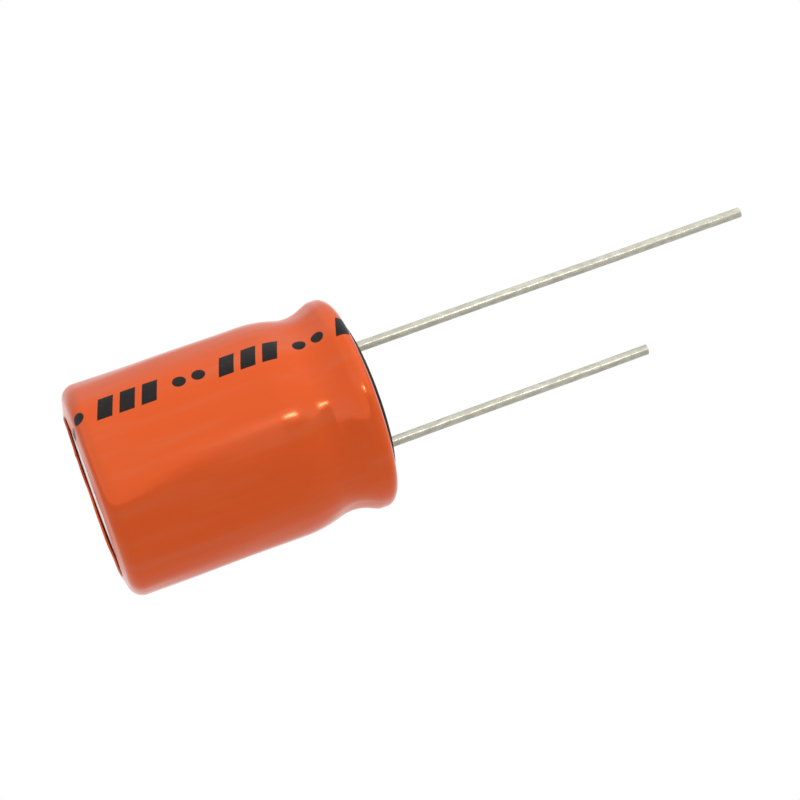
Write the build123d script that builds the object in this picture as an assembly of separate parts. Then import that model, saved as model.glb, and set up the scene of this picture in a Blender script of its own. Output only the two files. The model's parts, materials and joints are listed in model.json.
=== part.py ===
from build123d import *
import math
import os

# A radial supercapacitor: a sleeved aluminium can closed by a rubber seal, with two wire leads.
# Millimetres. It stands on its closed end with its axis on Z, and the leads point up along +Z.
# Round pieces are drawn as a half section, with radius across and height up, and spun about Z.

# Can: one deep-drawn cup with a beaded wall and a rim curled inwards over the seal
can_radius = 8.0
can_height = 20.45        # underside of the can to the top of its curled rim
can_wall = 0.4
can_corner = 1.0          # outside radius where the wall meets the bottom
curl_radius = 0.85        # outside radius of the curled rim
curl_inset = 0.08         # the curl is this much slimmer than the can
curl_turn = 175.0         # degrees that the rim turns, from straight up to pointing down
bead_depth = 1.1
bead_below_top = 3.15     # middle of the bead, below the top of the curl
bead_floor = 0.5          # straight stretch at the bottom of the bead
bead_round = 0.8
lean_below_top = 5.76     # where can and sleeve start to lean in towards the bead, below the curl's top
lean_reach = 1.4          # how far each way this bend is rounded
ridge_below_curl = 0.29   # where can and sleeve come back out, below the middle of the curled rim
ridge_reach = 0.25
vent_length = 9.0         # two crossed score lines under the can, which tear open to relieve pressure
vent_width = 0.25
vent_depth = 0.12

# Sleeve: heat-shrunk tube, tight on the can and bridging the bead
sleeve_wall = 0.15
waist_below_top = 3.05    # where its two slopes over the bead would meet
waist_depth = 0.855       # and how far inside the can's radius
waist_round = 3.0
top_wrap = 115.0          # degrees that the sleeve follows the curl
corner_wrap = 78.0        # degrees that it follows the can's bottom corner
lip_length = 1.1          # free edge beyond the corner, which holds the can off the ground
lip_flat = 0.03           # the lip's edge is pressed flat by this much where it stands

# Rubber seal
seal_bottom_below_top = 5.1
seal_shoulder_below_top = 0.5
seal_boss_gap = 0.12      # between the curled rim and the boss that shows inside it
seal_proud = 0.6          # how far it stands above the curl
seal_round = 0.25

# Leads: a tinned wire welded to an aluminium tab, one pair to each polarity
lead_pitch = 7.5
lead_radius = 0.4
positive_lead_length = 32.5
negative_lead_length = 21.8
weld_height = 1.0         # flared weld inside the seal
weld_radius = 0.55
shank_radius = 0.95
shank_below_seal = 0.35
taper_height = 0.6        # round shank pressed down to the flat paddle
paddle_width = 2.4
paddle_thickness = 0.25
paddle_above_floor = 2.5
paddle_clearance = 0.03   # each side, to the turns that grip it

# Wound element: two carbon-coated foils and their separators, rolled up and soaked with electrolyte
element_side_gap = 0.4    # least space between the roll and the can's wall
element_core_radius = 1.25
element_below_seal = 1.25
tape_thickness = 0.06
tape_margin = 1.3         # bare roll left above and below the tape

# Heights worked out from the sizes above; the ground is at 0
lip_angle = 90.0 - corner_wrap
lip_drop = lip_length * math.sin(math.radians(lip_angle))
corner_drop = (can_corner + sleeve_wall) * math.cos(math.radians(lip_angle)) - can_corner
can_bottom = lip_drop + corner_drop - lip_flat
can_top = can_bottom + can_height
can_floor = can_bottom + can_wall
lean_point = (can_radius, can_top - lean_below_top)
curl_outer_radius = can_radius - curl_inset
curl_centre_radius = curl_outer_radius - curl_radius
curl_centre = can_top - curl_radius
ridge_point = (curl_outer_radius, curl_centre - ridge_below_curl)
curl_point = (curl_outer_radius, curl_centre)
seal_boss_radius = curl_centre_radius - curl_radius - seal_boss_gap
seal_top = can_top + seal_proud
seal_bottom = can_top - seal_bottom_below_top
weld_bottom = seal_top - weld_height
element_radius = can_radius - max(can_corner, can_wall + element_side_gap)
element_top = seal_bottom - element_below_seal
shank_bottom = seal_bottom - shank_below_seal
paddle_top = shank_bottom - taper_height
paddle_bottom = can_floor + paddle_above_floor
lead_x = lead_pitch / 2


def spin(section):
    # a half section drawn as (radius, height) becomes a round piece about Z
    return revolve(Plane.XZ * section, axis=Axis.Z)


def joined_wire(*lines):
    return Wire([edge for line in lines for edge in line.edges()])


def band(outline, thickness, outwards):
    # a wall of even thickness on one side of an outline; the outer of the two reaches further from the axis
    sides = [make_face(offset(outline, amount=thickness, side=side)) for side in (Side.LEFT, Side.RIGHT)]
    sides.sort(key=lambda face: face.bounding_box().max.X)
    return sides[1] if outwards else sides[0]


def bend_radius(before, corner, after, reach):
    # the radius that rounds a corner over the same reach along both of its lines
    turn = math.radians((Vector(*corner) - Vector(*before)).get_angle(Vector(*after) - Vector(*corner)))
    return reach / math.tan(turn / 2)


def bottom_corner(turn):
    # arc round the can's bottom corner, from the wall towards the axis
    return JernArc(start=(can_radius, can_bottom + can_corner), tangent=(0, -1), radius=can_corner, arc_size=-turn)


def curled_rim(turn):
    # arc over the top of the can, from its outside towards the axis
    return JernArc(start=curl_point, tangent=(0, 1), radius=curl_radius, arc_size=turn)


def can_outline():
    # outside of the can in half section, from the middle of the bottom to the rim's cut edge
    corner = bottom_corner(90)
    bead_centre = can_top - bead_below_top
    bead_low = (can_radius - bead_depth, bead_centre - bead_floor / 2)
    bead_high = (can_radius - bead_depth, bead_centre + bead_floor / 2)
    lean_round = bend_radius(corner @ 0, lean_point, bead_low, lean_reach)
    ridge_round = bend_radius(bead_high, ridge_point, curl_point, ridge_reach)
    wall = FilletPolyline(
        [corner @ 0, lean_point, bead_low, bead_high, ridge_point, curl_point],
        radius=[lean_round, bead_round, bead_round, ridge_round],
    )
    floor = Line((0, can_bottom), corner @ 1)
    return joined_wire(floor, corner, wall, curled_rim(curl_turn))


def can_section():
    return band(can_outline(), can_wall, outwards=False)


def can():
    body = spin(can_section())
    for turn in (0, 90):
        score = Box(vent_length, vent_width, 2 * vent_depth)
        body -= Pos(0, 0, can_bottom) * Rot(0, 0, turn) * score
    return body


def sleeve_outline():
    # the line where the sleeve lies on the can, from its free lip over the wall to the curled rim
    corner = bottom_corner(corner_wrap)
    lip = Line(corner @ 1, corner @ 1 + (corner % 1) * lip_length)
    waist_point = (can_radius - waist_depth, can_top - waist_below_top)
    lean_round = bend_radius(corner @ 0, lean_point, waist_point, lean_reach)
    ridge_round = bend_radius(waist_point, ridge_point, curl_point, ridge_reach)
    wall = FilletPolyline(
        [corner @ 0, lean_point, waist_point, ridge_point, curl_point],
        radius=[lean_round, waist_round, ridge_round],
    )
    return joined_wire(lip, corner, wall, curled_rim(top_wrap))


def sleeve():
    section = band(sleeve_outline(), sleeve_wall, outwards=True)
    below_ground = Pos(can_radius / 2, -can_height / 2) * Rectangle(2 * can_radius, can_height)
    return spin(section - below_ground)


def block(inner_radius, outer_radius, bottom, top):
    # a rectangle in the half section
    middle = Pos((inner_radius + outer_radius) / 2, (bottom + top) / 2)
    return middle * Rectangle(outer_radius - inner_radius, top - bottom)


def round_bar(x, radius, bottom, top):
    return Pos(x, 0, (bottom + top) / 2) * Cylinder(radius, top - bottom)


def weld(x):
    # flared joint of wire and shank, narrowing to the wire at the top of the seal
    return Pos(x, 0, weld_bottom + weld_height / 2) * Cone(weld_radius, lead_radius, weld_height)


def rubber_seal():
    # the rubber fills the can from its lower face up to the curl, and its boss shows inside the curl
    outline = can_outline()
    closing = Polyline(outline @ 1, (0, (outline @ 1).Y), (0, can_bottom))
    inside_can = make_face(joined_wire(outline, closing))
    bung = block(0, can_radius, seal_bottom, can_top - seal_shoulder_below_top) & inside_can
    boss = block(0, seal_boss_radius, seal_bottom, seal_top)
    boss_edge = [v for v in boss.vertices() if v.X > seal_boss_radius / 2 and v.Y > seal_bottom + seal_round]
    boss = fillet(boss_edge, seal_round)
    body = spin(bung + boss - can_section())
    for x in (-lead_x, lead_x):
        body -= round_bar(x, shank_radius, seal_bottom, weld_bottom)
        body -= weld(x)
    return body


def paddle(x, clearance):
    # flat blade that is stitched to a foil and wound in with it
    blade = Box(
        paddle_thickness + 2 * clearance,
        paddle_width + 2 * clearance,
        paddle_top - paddle_bottom + clearance,
    )
    return Pos(x, 0, (paddle_top + paddle_bottom - clearance) / 2) * blade


def tab(x):
    shank = round_bar(x, shank_radius, shank_bottom, weld_bottom)
    pressed = loft([
        Pos(x, 0, paddle_top) * Rectangle(paddle_thickness, paddle_width),
        Pos(x, 0, shank_bottom) * Circle(shank_radius),
    ])
    return shank + pressed + paddle(x, 0)


def lead(x, length):
    return round_bar(x, lead_radius, seal_top, seal_top + length) + weld(x)


def wound_element():
    roll = spin(block(element_core_radius, element_radius, can_floor, element_top))
    for x in (-lead_x, lead_x):
        roll -= paddle(x, paddle_clearance)
    return roll


def element_tape():
    outer_radius = element_radius + tape_thickness
    return spin(block(element_radius, outer_radius, can_floor + tape_margin, element_top - tape_margin))


def main():
    pieces = {
        "sleeve": sleeve(),
        "can": can(),
        "rubber_seal": rubber_seal(),
        "wound_element": wound_element(),
        "element_tape": element_tape(),
        "positive_tab": tab(-lead_x),
        "negative_tab": tab(lead_x),
        "positive_lead": lead(-lead_x, positive_lead_length),
        "negative_lead": lead(lead_x, negative_lead_length),
    }
    os.makedirs("parts", exist_ok=True)
    for name, piece in pieces.items():
        export_step(piece, f"parts/{name}.step")


main()
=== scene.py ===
import json
import math
import bpy
import numpy as np
from mathutils import Matrix, Vector


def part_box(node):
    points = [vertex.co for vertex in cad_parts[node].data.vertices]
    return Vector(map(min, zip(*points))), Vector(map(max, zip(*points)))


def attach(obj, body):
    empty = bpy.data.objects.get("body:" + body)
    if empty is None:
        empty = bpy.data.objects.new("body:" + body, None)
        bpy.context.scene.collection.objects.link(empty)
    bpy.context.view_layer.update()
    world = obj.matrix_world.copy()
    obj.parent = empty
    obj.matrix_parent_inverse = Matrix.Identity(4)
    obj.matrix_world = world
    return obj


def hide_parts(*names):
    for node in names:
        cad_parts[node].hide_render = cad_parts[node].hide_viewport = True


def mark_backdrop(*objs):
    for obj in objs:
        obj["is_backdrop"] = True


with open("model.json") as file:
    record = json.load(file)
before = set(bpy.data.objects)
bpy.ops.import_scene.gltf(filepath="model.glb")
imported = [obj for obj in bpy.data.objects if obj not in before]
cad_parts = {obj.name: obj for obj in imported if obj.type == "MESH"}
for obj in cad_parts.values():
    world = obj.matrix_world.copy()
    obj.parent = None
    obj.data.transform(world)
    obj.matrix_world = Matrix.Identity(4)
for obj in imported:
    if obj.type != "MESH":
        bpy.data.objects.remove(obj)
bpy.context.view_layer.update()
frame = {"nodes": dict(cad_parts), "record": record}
mm = 0.001
print("frame loaded:", ", ".join(sorted(frame["nodes"])))


class Socket:
    # a node socket that takes part in sums, so that masks read as plain formulas
    def __init__(self, shader, link):
        self.shader = shader
        self.link = link

    def maths(self, operation, *terms):
        return self.shader.node("ShaderNodeMath", {"operation": operation}, dict(enumerate(terms)))

    def __add__(self, other):
        return self.maths("ADD", self, other)

    def __radd__(self, other):
        return self.maths("ADD", other, self)

    def __sub__(self, other):
        return self.maths("SUBTRACT", self, other)

    def __rsub__(self, other):
        return self.maths("SUBTRACT", other, self)

    def __mul__(self, other):
        return self.maths("MULTIPLY", self, other)

    def __rmul__(self, other):
        return self.maths("MULTIPLY", other, self)

    def __neg__(self):
        return self.maths("MULTIPLY", self, -1.0)

    def __abs__(self):
        return self.maths("ABSOLUTE", self)

    def __mod__(self, other):
        return self.maths("FLOORED_MODULO", self, other)

    def larger(self, other):
        return self.maths("MAXIMUM", self, other)


    def ramp(self, low, high):
        # 0 at low, 1 at high, smooth between
        settings = {"interpolation_type": "SMOOTHSTEP"}
        sockets = {"Value": self, "From Min": low, "From Max": high}
        return self.shader.node("ShaderNodeMapRange", settings, sockets)


class NodeTree:
    # adds nodes to a material or a world
    def __init__(self, owner):
        owner.use_nodes = True
        self.tree = owner.node_tree

    def node(self, kind, settings=None, sockets=None, output=0):
        made = self.tree.nodes.new(kind)
        for key, value in (settings or {}).items():
            if key == "stops":
                while len(made.color_ramp.elements) < len(value):
                    made.color_ramp.elements.new(0.5)
                for element, (place, colour) in zip(made.color_ramp.elements, value):
                    element.position, element.color = place, colour
            else:
                setattr(made, key, value)
        for key, value in (sockets or {}).items():
            if isinstance(value, Socket):
                self.tree.links.new(value.link, made.inputs[key])
            else:
                made.inputs[key].default_value = value
        return Socket(self, made.outputs[output])


class Shader(NodeTree):
    def __init__(self, name, **constants):
        self.material = bpy.data.materials.new(name)
        super().__init__(self.material)
        self.surface = self.tree.nodes["Principled BSDF"]
        for key, value in constants.items():
            self.surface.inputs[key.replace("_", " ")].default_value = value

    def feed(self, **links):
        for key, value in links.items():
            self.tree.links.new(value.link, self.surface.inputs[key.replace("_", " ")])

    def place(self, scale=(1000.0, 1000.0, 1000.0)):
        # object coordinates in millimetres, stretched by the ratio of the three scales
        coordinate = self.node("ShaderNodeTexCoord", output="Object")
        return self.node("ShaderNodeMapping", sockets={"Vector": coordinate, "Scale": scale})

    def noise(self, vector, scale=1.0, detail=2.0, roughness=0.5):
        sockets = {"Vector": vector, "Scale": scale, "Detail": detail, "Roughness": roughness}
        return self.node("ShaderNodeTexNoise", {}, sockets)

    def mix(self, factor, colourA, colourB):
        settings = {"data_type": "RGBA"}
        sockets = {0: factor, 6: colourA, 7: colourB}
        return self.node("ShaderNodeMix", settings, sockets, output=2)

    def bump(self, height, distance, strength=1.0):
        return self.node("ShaderNodeBump", {}, {"Height": height, "Distance": distance, "Strength": strength})


def roundedPath(points, radii, count):
    # straight runs between the points, each inner corner rounded by an arc of its radius:
    # the arc touches both runs at radius * tan(turn / 2) from the corner; even steps of length
    points = np.array(points, float)
    runs = [points[:1]]
    for corner, before, after, radius in zip(points[1:-1], points[:-2], points[2:], radii):
        back = (before - corner) / np.linalg.norm(before - corner)
        ahead = (after - corner) / np.linalg.norm(after - corner)
        half = math.acos(np.clip(back @ ahead, -1, 1)) / 2
        bisector = (back + ahead) / np.linalg.norm(back + ahead)
        centre = corner + bisector * radius / math.sin(half)
        start = corner + back * radius / math.tan(half) - centre
        end = corner + ahead * radius / math.tan(half) - centre
        share = np.linspace(0, 1, 40)[:, None]
        sweep = math.pi - 2 * half
        arc = (np.sin((1 - share) * sweep) * start + np.sin(share * sweep) * end) / math.sin(sweep)
        runs.append(centre + arc)
    runs.append(points[-1:])
    dense = np.concatenate(runs)
    length = np.r_[0, np.cumsum(np.linalg.norm(np.diff(dense, axis=0), axis=1))]
    even = np.linspace(0, length[-1], count)
    return np.stack([np.interp(even, length, dense[:, axis]) for axis in (0, 1)], axis=1)


def leftNormals(path):
    # unit normals of a path in the (radius, height) plane, a quarter turn left of its direction
    step = np.gradient(path, axis=0)
    step /= np.linalg.norm(step, axis=1, keepdims=True)
    return np.stack([-step[:, 1], step[:, 0]], axis=1)


def gridMesh(name, x, y, z, closedRows, closedColumns, caps=()):
    # points on a grid of rows and columns, joined in squares; a closed direction joins last to first
    rows, columns = x.shape
    points = np.stack([x, y, z], axis=-1).reshape(-1, 3)
    row = np.arange(rows if closedRows else rows - 1)[:, None]
    column = np.arange(columns if closedColumns else columns - 1)[None, :]
    nextRow, nextColumn = (row + 1) % rows, (column + 1) % columns
    corners = [
        row * columns + column, row * columns + nextColumn,
        nextRow * columns + nextColumn, nextRow * columns + column,
    ]
    size = (len(row), column.shape[1])
    faces = np.stack([np.broadcast_to(corner, size) for corner in corners], axis=-1).reshape(-1, 4)
    mesh = bpy.data.meshes.new(name)
    extra = [tuple(int(v) for v in cap) for cap in caps]
    mesh.from_pydata(points.tolist(), [], faces.tolist() + extra)
    mesh.polygons.foreach_set("use_smooth", np.ones(len(mesh.polygons), bool))
    mesh.update()
    piece = bpy.data.objects.new(name, mesh)
    bpy.context.scene.collection.objects.link(piece)
    return piece


def gridUv(piece, across, along, rows, columns):
    # a map of the grid in millimetres; across and along hold one more value than there are squares
    u = np.broadcast_to(across[None, :], (rows + 1, columns + 1))
    v = np.broadcast_to(along[:, None], (rows + 1, columns + 1))
    r, c = np.meshgrid(np.arange(rows), np.arange(columns), indexing="ij")
    order = [(r, c), (r, c + 1), (r + 1, c + 1), (r + 1, c)]
    uv = np.stack([np.stack([u[a, b], v[a, b]], axis=-1) for a, b in order], axis=2).reshape(-1, 2)
    layer = piece.data.uv_layers.new(name="millimetres")
    layer.data.foreach_set("uv", uv.astype(np.float32).ravel())


def waves(angle, height, terms):
    # sum of amplitude * cos(turns * angle + rise * height + phase)
    total = np.zeros(np.broadcast(angle, height).shape)
    for amplitude, turns, rise, phase in terms:
        total = total + amplitude * np.cos(turns * angle + rise * height + phase)
    return total


def hill(distance, width):
    return np.exp(-(distance / width) ** 2)


def turnBetween(angle, centre):
    # signed turn from centre to angle, from -pi to pi
    return (angle - centre + math.pi) % (2 * math.pi) - math.pi


sleeveSize = {
    "radius": 8.148,         # millimetres, just inside the plain tube's box
    "wall": 0.15,
    "lipRadius": 6.2, "lipHeight": 0.07, "lipTilt": math.radians(12), "cornerRound": 1.15,
    "leanHeight": 15.1, "leanRound": 9.0,
    "waistRadius": 7.38, "waistHeight": 17.7, "waistRound": 3.1,
    "ridgeRadius": 8.12, "ridgeHeight": 19.5, "ridgeRound": 0.9,
    "curlRound": 0.85, "rimTurn": math.radians(25), "rimBelowBox": 0.005,
    "rimEdge": 6.62,         # radius near which the upper cut edge wanders
    "nubAngle": math.radians(123.5), "nubWidth": 0.32,
    "outerRows": 240, "innerRows": 60, "edgeRows": 6, "columns": 300,
}


def sleeveOutline(top):
    # free lip, round the bottom corner, up the wall, in over the bead, out at the ridge and over the curl
    s = sleeveSize
    cornerHeight = s["lipHeight"] + (s["radius"] - s["lipRadius"]) * math.tan(s["lipTilt"])
    reach = s["curlRound"] * math.tan(s["rimTurn"] / 2)
    overCurl = s["ridgeRadius"] - s["curlRound"] - reach
    rim = (overCurl - reach * math.cos(s["rimTurn"]), top - reach * math.sin(s["rimTurn"]))
    points = [
        (s["lipRadius"], s["lipHeight"]), (s["radius"], cornerHeight),
        (s["radius"], s["leanHeight"]), (s["waistRadius"], s["waistHeight"]),
        (s["ridgeRadius"], s["ridgeHeight"]), (s["ridgeRadius"], top), (overCurl, top), rim,
    ]
    bends = ("cornerRound", "leanRound", "waistRound", "ridgeRound", "curlRound", "curlRound")
    radii = [s[bend] for bend in bends]
    return roundedPath(points, radii, s["outerRows"])


# soft waves of the shrunk film, as (millimetres, turns round, radians per millimetre of height, phase)
filmWaves = [
    (0.018, 7, 0.38, 0.4), (0.016, 12, -0.24, 2.1), (0.009, 19, 0.32, 4.4), (0.012, 5, 0.62, 1.0),
    (0.003, 31, 0.05, 3.0), (0.008, 3, 0.80, 5.2),
]
# dimples where the film has sunk a little, as (angle, height, width round, width up, depth)
filmDimples = [
    (-1.66, 16.2, 0.9, 0.7, 0.10), (-1.52, 19.3, 1.1, 0.5, 0.06), (-1.20, 16.6, 1.6, 0.8, 0.06),
    (-1.95, 15.6, 1.5, 0.9, 0.05), (0.40, 16.5, 1.4, 0.8, 0.07), (2.10, 16.0, 1.2, 0.7, 0.08),
    (2.90, 19.2, 1.0, 0.5, 0.05), (1.20, 17.1, 1.5, 0.8, 0.05), (-2.60, 16.4, 1.3, 0.9, 0.07),
]


def filmSink(angle, height, waist):
    # how far the outside sinks below its plain outline: waves everywhere, deeper folds over the bead
    sink = 0.066 + waves(angle, height, filmWaves)
    folds = waves(angle, height, [(0.030, 6, 0.5, 0.3), (0.022, 11, -0.7, 2.2), (0.012, 17, 0.4, 4.0)])
    sink = sink + waist * (0.03 + folds)
    sink = sink * (1 - 0.65 * hill(height - 20.3, 1.0))       # it lies tight on the rolled rim
    for centre, level, wide, tall, depth in filmDimples:
        around = turnBetween(angle, centre) * sleeveSize["radius"]
        sink = sink + depth * hill(around, wide) * hill(height - level, tall)
    return sink


def makeSleeve():
    s = sleeveSize
    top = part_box("sleeve")[1][2] / mm - s["rimBelowBox"]
    outer = sleeveOutline(top)
    inner = outer + leftNormals(outer) * s["wall"]
    length = np.r_[0, np.cumsum(np.linalg.norm(np.diff(outer, axis=0), axis=1))]
    pick = np.linspace(len(outer) - 1, 0, s["innerRows"]).round().astype(int)
    swing = np.linspace(0, math.pi, s["edgeRows"] + 2)[1:-1, None]

    def edge(first, last):
        # half circle from the outer point over the cut edge to the inner one
        middle, half = (first + last) / 2, (first - last) / 2
        outwards = np.array([-half[1], half[0]])
        return middle + np.cos(swing) * half + np.sin(swing) * outwards

    topEdge = edge(outer[-1], inner[-1])
    lipEdge = edge(inner[0], outer[0])
    loop = np.concatenate([outer, topEdge, inner[pick], lipEdge])
    along = np.r_[length, 100.0 + 0.02 * np.arange(len(loop) - len(outer) + 1)]

    # the seam is at the back
    around = np.linspace(-1.5 * math.pi, 0.5 * math.pi, s["columns"] + 1)
    angle = around[None, :-1]
    radius, height = loop[:, :1], loop[:, 1:]
    waist = hill(height - s["waistHeight"] + 0.3, 1.9)
    isOuter = np.zeros((len(loop), 1))
    isOuter[:len(outer)] = 1.0
    sink = filmSink(angle, height, waist)
    free = np.clip(waist - 0.35, 0, 1)        # where the film hangs clear of the can
    radius = radius - sink * np.where(isOuter > 0, 1.0, free)

    # the lip's cut edge wanders in height and width, with one small nub
    lip = hill((loop[:, :1] - s["lipRadius"]), 0.55) * (height < 0.8)
    wander = waves(angle, 0.0, [(0.022, 3, 0, 0.5), (0.015, 7, 0, 2.0), (0.008, 13, 0, 4.1)])
    nub = hill(turnBetween(angle, s["nubAngle"]) * s["lipRadius"], s["nubWidth"])
    height = height + lip * (wander - 0.05 * nub)
    radius = radius + lip * (waves(angle, 0.0, [(0.10, 2, 0, 1.1), (0.06, 5, 0, 0.2)]) - 0.25 * nub)
    # and so does the edge over the curl
    rim = hill(loop[:, :1] - s["rimEdge"], 0.25) * (loop[:, 1:] > 20)
    radius = radius + rim * waves(angle, 0.0, [(0.07, 2, 0, 2.6), (0.04, 5, 0, 0.9), (0.02, 11, 0, 3.3)])

    x, y = radius * np.cos(angle) * mm, radius * np.sin(angle) * mm
    z = np.broadcast_to(height, x.shape) * mm
    piece = gridMesh("sleeveFilm", x, y, np.maximum(z, 0.0), True, True)
    gridUv(piece, around * s["radius"], along, len(loop), s["columns"])
    return piece


filmColours = {
    "orange": (0.63, 0.084, 0.0125, 1.0),
    "pale": (0.60, 0.108, 0.036, 1.0),     # where the film scatters a little more
    "deep": (0.59, 0.074, 0.010, 1.0),
    "print": (0.006, 0.004, 0.004, 1.0),
}
printRow = {
    "angle": math.radians(-132.7),          # middle of the row, round the can
    "bottom": 5.6, "pitch": 9.0,           # first long mark's middle above the lip's end, and their spacing
    "markHalf": 2.2, "markTall": 0.95, "slant": 0.32, "bar": 0.62, "gap": 0.5,
    "dotAfter": 4.55, "dotRadius": 0.5, "dotSpacing": 0.72,
}


def printMask(shader, across, along):
    # a row of plain marks: three slanted bars, then a pair of dots, again and again
    p = printRow
    radius = sleeveSize["radius"]
    up = across - p["angle"] * radius
    step = (along - p["bottom"] + p["pitch"] / 2) % p["pitch"] - p["pitch"] / 2
    slanted = step + up * p["slant"]
    tall = 1.0 - abs(up).ramp(p["markTall"] - 0.03, p["markTall"] + 0.03)
    long = 1.0 - abs(slanted).ramp(p["markHalf"] - 0.03, p["markHalf"] + 0.03)
    period = (2 * p["markHalf"] + p["gap"]) / 3
    inBar = abs((slanted + p["markHalf"]) % period - (period - p["gap"]) / 2)
    bars = tall * long * (1.0 - inBar.ramp((period - p["gap"]) / 2 - 0.03, (period - p["gap"]) / 2 + 0.03))
    beyond = (along - p["bottom"] - p["dotAfter"] + p["pitch"] / 2) % p["pitch"] - p["pitch"] / 2
    side = abs(beyond) - p["dotSpacing"]
    spread = side * side + up * up
    dots = 1.0 - spread.ramp((p["dotRadius"] - 0.04) ** 2, (p["dotRadius"] + 0.04) ** 2)
    return bars.larger(dots)


def filmMaterial():
    shader = Shader("orangeShrinkFilm", Metallic=0.2, Specular_IOR_Level=0.12)
    uv = shader.node("ShaderNodeUVMap", {"uv_map": "millimetres"})
    parts = shader.node("ShaderNodeSeparateXYZ", sockets={"Vector": uv})
    across, along = parts, Socket(shader, parts.link.node.outputs["Y"])
    outside = 1.0 - along.ramp(40.0, 50.0)

    # lengthwise streaks of paler film, drawn out along the can
    streakPlace = shader.place((620.0, 620.0, 62.0))
    streak = shader.noise(streakPlace, 1.0, 3.0, 0.55).ramp(0.42, 0.66)
    cloud = shader.noise(shader.place((140.0, 140.0, 90.0)), 1.0, 2.0).ramp(0.3, 0.7)
    speck = shader.noise(shader.place((5200.0, 5200.0, 5200.0)), 1.0, 1.0).ramp(0.70, 0.78)
    colour = shader.mix(0.6 * streak, filmColours["orange"], filmColours["pale"])
    colour = shader.mix(0.25 * cloud + 0.10 * speck, colour, filmColours["deep"])
    mask = printMask(shader, across, along) * outside
    ink = shader.noise(shader.place((3000.0, 3000.0, 3000.0)), 1.0, 2.0).ramp(0.25, 0.45)
    colour = shader.mix(mask * (0.97 + 0.03 * ink), colour, filmColours["print"])
    shader.feed(Base_Color=colour)
    shader.feed(Roughness=0.12 + 0.03 * cloud + 0.04 * streak + 0.16 * mask)

    peel = shader.noise(shader.place((1500.0, 1500.0, 900.0)), 1.0, 2.0)
    drawn = shader.noise(shader.place((2600.0, 2600.0, 160.0)), 1.0, 2.0)
    height = 0.5 * peel + 0.5 * drawn + 0.35 * mask
    shader.feed(Normal=shader.bump(height, 0.000012))
    return shader.material


sleeve = makeSleeve()
sleeve.data.materials.append(filmMaterial())
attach(sleeve, "root")
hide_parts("sleeve")
print("sleeve made:", len(sleeve.data.polygons), "faces")


leadSize = {
    "wander": 0.012,         # millimetres that a hand-straightened wire strays from its line
    "dent": 0.0035,          # depth of the marks along it
    "rows": 420, "columns": 56, "tipRound": 0.05, "burr": 0.05, "sunk": 0.4,
}


def makeLead(node, name, seed):
    # a drawn wire, nearly round, with faint marks along it and a sheared tip with a small burr
    s = leadSize
    low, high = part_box(node)
    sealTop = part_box("rubber_seal")[1][2] / mm
    top = high[2] / mm
    middle = (low[0] + high[0]) / 2 / mm
    wire = frame["record"]["mounts"][0]["dims"]["r_mm"]
    radius = wire - s["dent"]
    start = sealTop - s["sunk"]
    height = np.r_[start, np.linspace(start + 0.02, top - s["tipRound"], s["rows"])]
    ring = np.full_like(height, radius)
    swing = np.linspace(0, math.pi / 2, 6)[1:]
    height = np.r_[height, top - s["tipRound"] + s["tipRound"] * np.sin(swing)]
    ring = np.r_[ring, radius - s["tipRound"] * (1 - np.cos(swing))]
    ring[0] = 0.0001
    angle = np.linspace(0, 2 * math.pi, s["columns"], endpoint=False)[None, :]
    h, r = height[:, None], ring[:, None]
    marks = waves(angle, h, [(0.4, 3, 5.1, seed), (0.3, 5, -9.7, 2 * seed), (0.3, 2, 17.3, 3 * seed)])
    r = r + np.where(h < top - s["tipRound"], s["dent"] * 0.6 * marks, 0.0) * (r > 0.1)
    held = np.clip((h - sealTop) / 6, 0, 1) * np.clip((top - h) / 4, 0.0, 1)
    x = middle + r * np.cos(angle) + s["wander"] * held * np.sin(0.31 * h + seed)
    y = r * np.sin(angle) + s["wander"] * held * np.cos(0.23 * h + 2 * seed)
    # the shear drags one side of the tip up and leaves the other side a touch lower
    atTip = np.clip((h - (top - 2 * s["tipRound"])) / (2 * s["tipRound"]), 0, 1)
    z = h - atTip * s["burr"] * (0.5 - 0.5 * np.cos(angle - seed))
    piece = gridMesh(name, x * mm, y * mm, np.broadcast_to(z, x.shape) * mm, False, True,
                     caps=[range((len(height) - 1) * s["columns"], len(height) * s["columns"]),
                           range(s["columns"] - 1, -1, -1)])
    return piece


def tinMaterial():
    # dull tin over steel: warm pale grey, crystalline patches and fine rubs along the wire
    shader = Shader("tinnedWire", Metallic=0.4)
    patch = shader.noise(shader.place((2600.0, 2600.0, 1300.0)), 1.0, 3.0, 0.6)
    grain = shader.noise(shader.place((9000.0, 9000.0, 6500.0)), 1.0, 2.0)
    rub = shader.noise(shader.place((7000.0, 7000.0, 420.0)), 1.0, 2.0)
    bright = patch.ramp(0.35, 0.65)
    colour = shader.mix(bright, (0.36, 0.35, 0.29, 1.0), (0.47, 0.455, 0.38, 1.0))
    shader.feed(Base_Color=colour)
    shader.feed(Roughness=0.30 - 0.08 * bright + 0.08 * grain)
    shader.feed(Normal=shader.bump(0.5 * patch + 0.3 * grain + 0.5 * rub, 0.00003))
    return shader.material


tin = tinMaterial()
for node, name, seed in (("positive_lead", "positiveWire", 0.9), ("negative_lead", "negativeWire", 2.3)):
    wire = makeLead(node, name, seed)
    wire.data.materials.append(tin)
    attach(wire, "root")
    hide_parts(node)
print("leads made")


def dress(node, material):
    piece = frame["nodes"][node]
    if not piece.data.materials:
        piece.data.materials.append(material)
    for slot in piece.material_slots:
        slot.material = material


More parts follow.
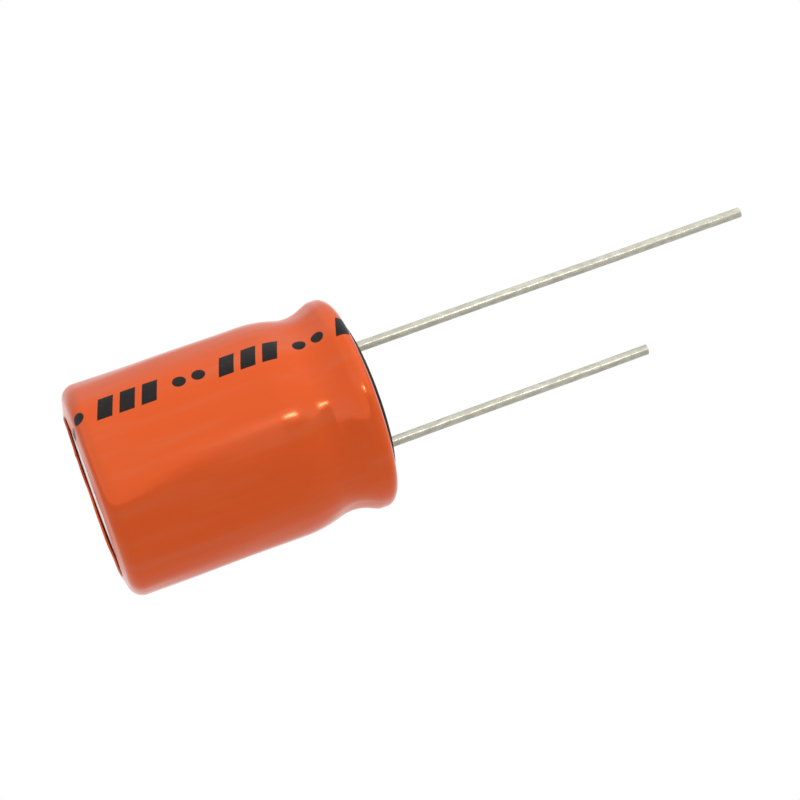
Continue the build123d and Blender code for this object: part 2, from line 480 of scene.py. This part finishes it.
def rubberMaterial():
    shader = Shader("blackRubber", Specular_IOR_Level=0.2)
    grain = shader.noise(shader.place((3200.0, 3200.0, 3200.0)), 1.0, 3.0, 0.6)
    bloom = shader.noise(shader.place((420.0, 420.0, 420.0)), 1.0, 2.0).ramp(0.35, 0.75)
    shader.feed(Base_Color=shader.mix(bloom, (0.008, 0.005, 0.004, 1.0), (0.016, 0.011, 0.009, 1.0)))
    shader.feed(Roughness=0.48 + 0.14 * grain)
    shader.feed(Normal=shader.bump(grain, 0.00002))
    return shader.material


def drawnAluminium():
    # satin cup with faint turning rings under it
    shader = Shader("drawnAluminium", Metallic=1.0)
    place = shader.place()
    parts = shader.node("ShaderNodeSeparateXYZ", sockets={"Vector": place})
    x, y = parts, Socket(shader, parts.link.node.outputs["Y"])
    squares = x * x + y * y
    distance = squares.maths("SQRT", squares)
    ringSockets = {"W": distance, "Scale": 7.0, "Detail": 3.0}
    rings = shader.node("ShaderNodeTexNoise", {"noise_dimensions": "1D"}, ringSockets)
    cloud = shader.noise(shader.place((300.0, 300.0, 300.0)), 1.0, 3.0)
    shader.feed(Base_Color=shader.mix(cloud, (0.66, 0.66, 0.67, 1.0), (0.80, 0.80, 0.80, 1.0)))
    shader.feed(Roughness=0.26 + 0.16 * rings)
    shader.feed(Normal=shader.bump(rings, 0.00001))
    return shader.material


def rollMaterial():
    # edges of the wound foils and separators: dark coils with thin pale lines between
    shader = Shader("woundFoils")
    place = shader.place()
    parts = shader.node("ShaderNodeSeparateXYZ", sockets={"Vector": place})
    x, y = parts, Socket(shader, parts.link.node.outputs["Y"])
    squares = x * x + y * y
    distance = squares.maths("SQRT", squares)
    turn = abs((distance * 3.2) % 1.0 - 0.5).ramp(0.30, 0.42)
    shader.feed(Base_Color=shader.mix(turn, (0.03, 0.03, 0.032, 1.0), (0.45, 0.43, 0.38, 1.0)))
    shader.feed(Roughness=0.75 - 0.15 * turn)
    return shader.material


def tapeMaterial():
    shader = Shader("amberTape", Roughness=0.35)
    cloud = shader.noise(shader.place((500.0, 500.0, 200.0)), 1.0, 2.0)
    shader.feed(Base_Color=shader.mix(cloud, (0.55, 0.30, 0.05, 1.0), (0.68, 0.42, 0.10, 1.0)))
    return shader.material


def tabMaterial():
    shader = Shader("pressedAluminium", Metallic=1.0)
    rub = shader.noise(shader.place((2500.0, 2500.0, 300.0)), 1.0, 2.0)
    shader.feed(Base_Color=shader.mix(rub, (0.70, 0.70, 0.71, 1.0), (0.82, 0.82, 0.82, 1.0)))
    shader.feed(Roughness=0.30 + 0.15 * rub)
    return shader.material


dress("rubber_seal", rubberMaterial())
dress("can", drawnAluminium())
dress("wound_element", rollMaterial())
dress("element_tape", tapeMaterial())
tabFinish = tabMaterial()
for node in ("positive_tab", "negative_tab"):
    dress(node, tabFinish)
print("finishes made")


def floorMaterial():
    # pale floor that keeps the shadow, and can be seen through from below
    shader = Shader("paleFloor", Roughness=0.85)
    cloud = shader.noise(shader.place((20.0, 20.0, 20.0)), 1.0, 2.0)
    shader.feed(Base_Color=shader.mix(cloud, (0.88, 0.88, 0.88, 1.0), (0.93, 0.93, 0.93, 1.0)))
    back = shader.node("ShaderNodeNewGeometry", output=6)
    clear = shader.node("ShaderNodeBsdfTransparent")
    front = Socket(shader, shader.surface.outputs[0])
    blend = shader.node("ShaderNodeMixShader", {}, {0: back, 1: front, 2: clear})
    shader.tree.links.new(blend.link, shader.tree.nodes["Material Output"].inputs["Surface"])
    return shader.material


def makeFloor(radius):
    ring = np.array([radius, radius / 2, 0.0001])[:, None]
    angle = np.linspace(0, 2 * math.pi, 96, endpoint=False)[None, :]
    floor = gridMesh("floor", ring * np.cos(angle), ring * np.sin(angle), np.zeros((3, 96)), False, True)
    floor.data.materials.append(floorMaterial())
    # it catches the shadow but stops no light, so that the lip under the can isn't black
    floor.visible_shadow = floor.visible_glossy = floor.visible_diffuse = False
    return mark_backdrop(floor)


studio = {
    "ambient": 0.85,
    "white": 1.0,                           # what the camera and gloss see
    "cardGlow": 1.12,                       # added where gloss shows the big card in front
    "cardEdgeLow": math.radians(20),        # the card's edge, as a turn from the front towards +X, low down
    "cardEdgeHigh": math.radians(-2),       # and higher up
    "cardLow": math.sin(math.radians(1)),   # heights between which its edge leans over
    "cardHigh": math.sin(math.radians(9)),
}


def makeWorld():
    # even white all round, with one big pale card in front and to the left that only shows in gloss
    s = studio
    world = bpy.data.worlds.new("studio")
    bpy.context.scene.world = world
    nodes = NodeTree(world)
    direction = nodes.node("ShaderNodeTexCoord", output="Generated")
    parts = nodes.node("ShaderNodeSeparateXYZ", sockets={"Vector": direction})
    x = parts
    y = Socket(nodes, parts.link.node.outputs["Y"])
    z = Socket(nodes, parts.link.node.outputs["Z"])
    turn = x.maths("ARCTAN2", x, -y)
    lean = z.ramp(s["cardLow"], s["cardHigh"])
    fromEdge = turn - s["cardEdgeLow"] + lean * (s["cardEdgeLow"] - s["cardEdgeHigh"])
    card = (1.0 - fromEdge.ramp(-0.05, 0.05)) * turn.ramp(-2.5, -1.6)
    camera = nodes.node("ShaderNodeLightPath", output="Is Camera Ray")
    gloss = Socket(nodes, camera.link.node.outputs["Is Glossy Ray"])
    clear = Socket(nodes, camera.link.node.outputs["Is Transmission Ray"])
    seen = camera.larger(gloss).larger(clear)
    strength = s["ambient"] + seen * (s["white"] - s["ambient"]) + gloss * card * s["cardGlow"]
    nodes.tree.links.new(strength.link, nodes.tree.nodes["Background"].inputs["Strength"])
    nodes.tree.nodes["Background"].inputs["Color"].default_value = (1.0, 1.0, 1.0, 1.0)


# soft boxes, in millimetres and watts: each shows only in gloss, or lights everything but gloss
softBoxes = {
    "topBox": {
        "place": (-120, -60, 200), "aim": (0, 0, 12), "size": (160, 160), "watts": 0.25, "gloss": False,
    },
    "stripBox": {
        "place": (-32, -200, 80), "aim": (0, 0, 25), "size": (7, 55), "watts": 0.085, "gloss": True,
    },
}


def makeSoftBox(name, place, aim, size, watts, gloss):
    lamp = bpy.data.lights.new(name, "AREA")
    lamp.shape = "RECTANGLE"
    lamp.size, lamp.size_y = size[0] * mm, size[1] * mm
    lamp.energy = watts
    box = bpy.data.objects.new(name, lamp)
    box.visible_diffuse = not gloss
    box.visible_glossy = gloss
    bpy.context.scene.collection.objects.link(box)
    place = Vector(place) * mm
    facing = (Vector(aim) * mm - place).to_track_quat("-Z", "Y").to_matrix().to_4x4()
    box.matrix_world = Matrix.Translation(place) @ facing


view = {
    "place": (1.17, -152.92, -5.17),        # millimetres
    "forward": (-0.0010, 0.9826, 0.1860),
    "up": (-0.9409, -0.0639, 0.3327),       # the can lies across the picture, leads up to the right
    "lens": 94.05,
}


def makeCamera():
    data = bpy.data.cameras.new("camera")
    data.lens, data.sensor_width = view["lens"], 36.0
    data.clip_start, data.clip_end = 0.001, 10.0
    camera = bpy.data.objects.new("camera", data)
    bpy.context.scene.collection.objects.link(camera)
    forward = Vector(view["forward"]).normalized()
    right = forward.cross(Vector(view["up"])).normalized()
    up = right.cross(forward)
    turn = Matrix((right, up, -forward)).transposed().to_4x4()
    camera.matrix_world = Matrix.Translation(Vector(view["place"]) * mm) @ turn
    bpy.context.scene.camera = camera


makeFloor(0.6)
makeWorld()
for name, softBox in softBoxes.items():
    makeSoftBox(name, **softBox)
makeCamera()
bpy.context.scene.view_settings.view_transform = "Standard"
print("stage made")
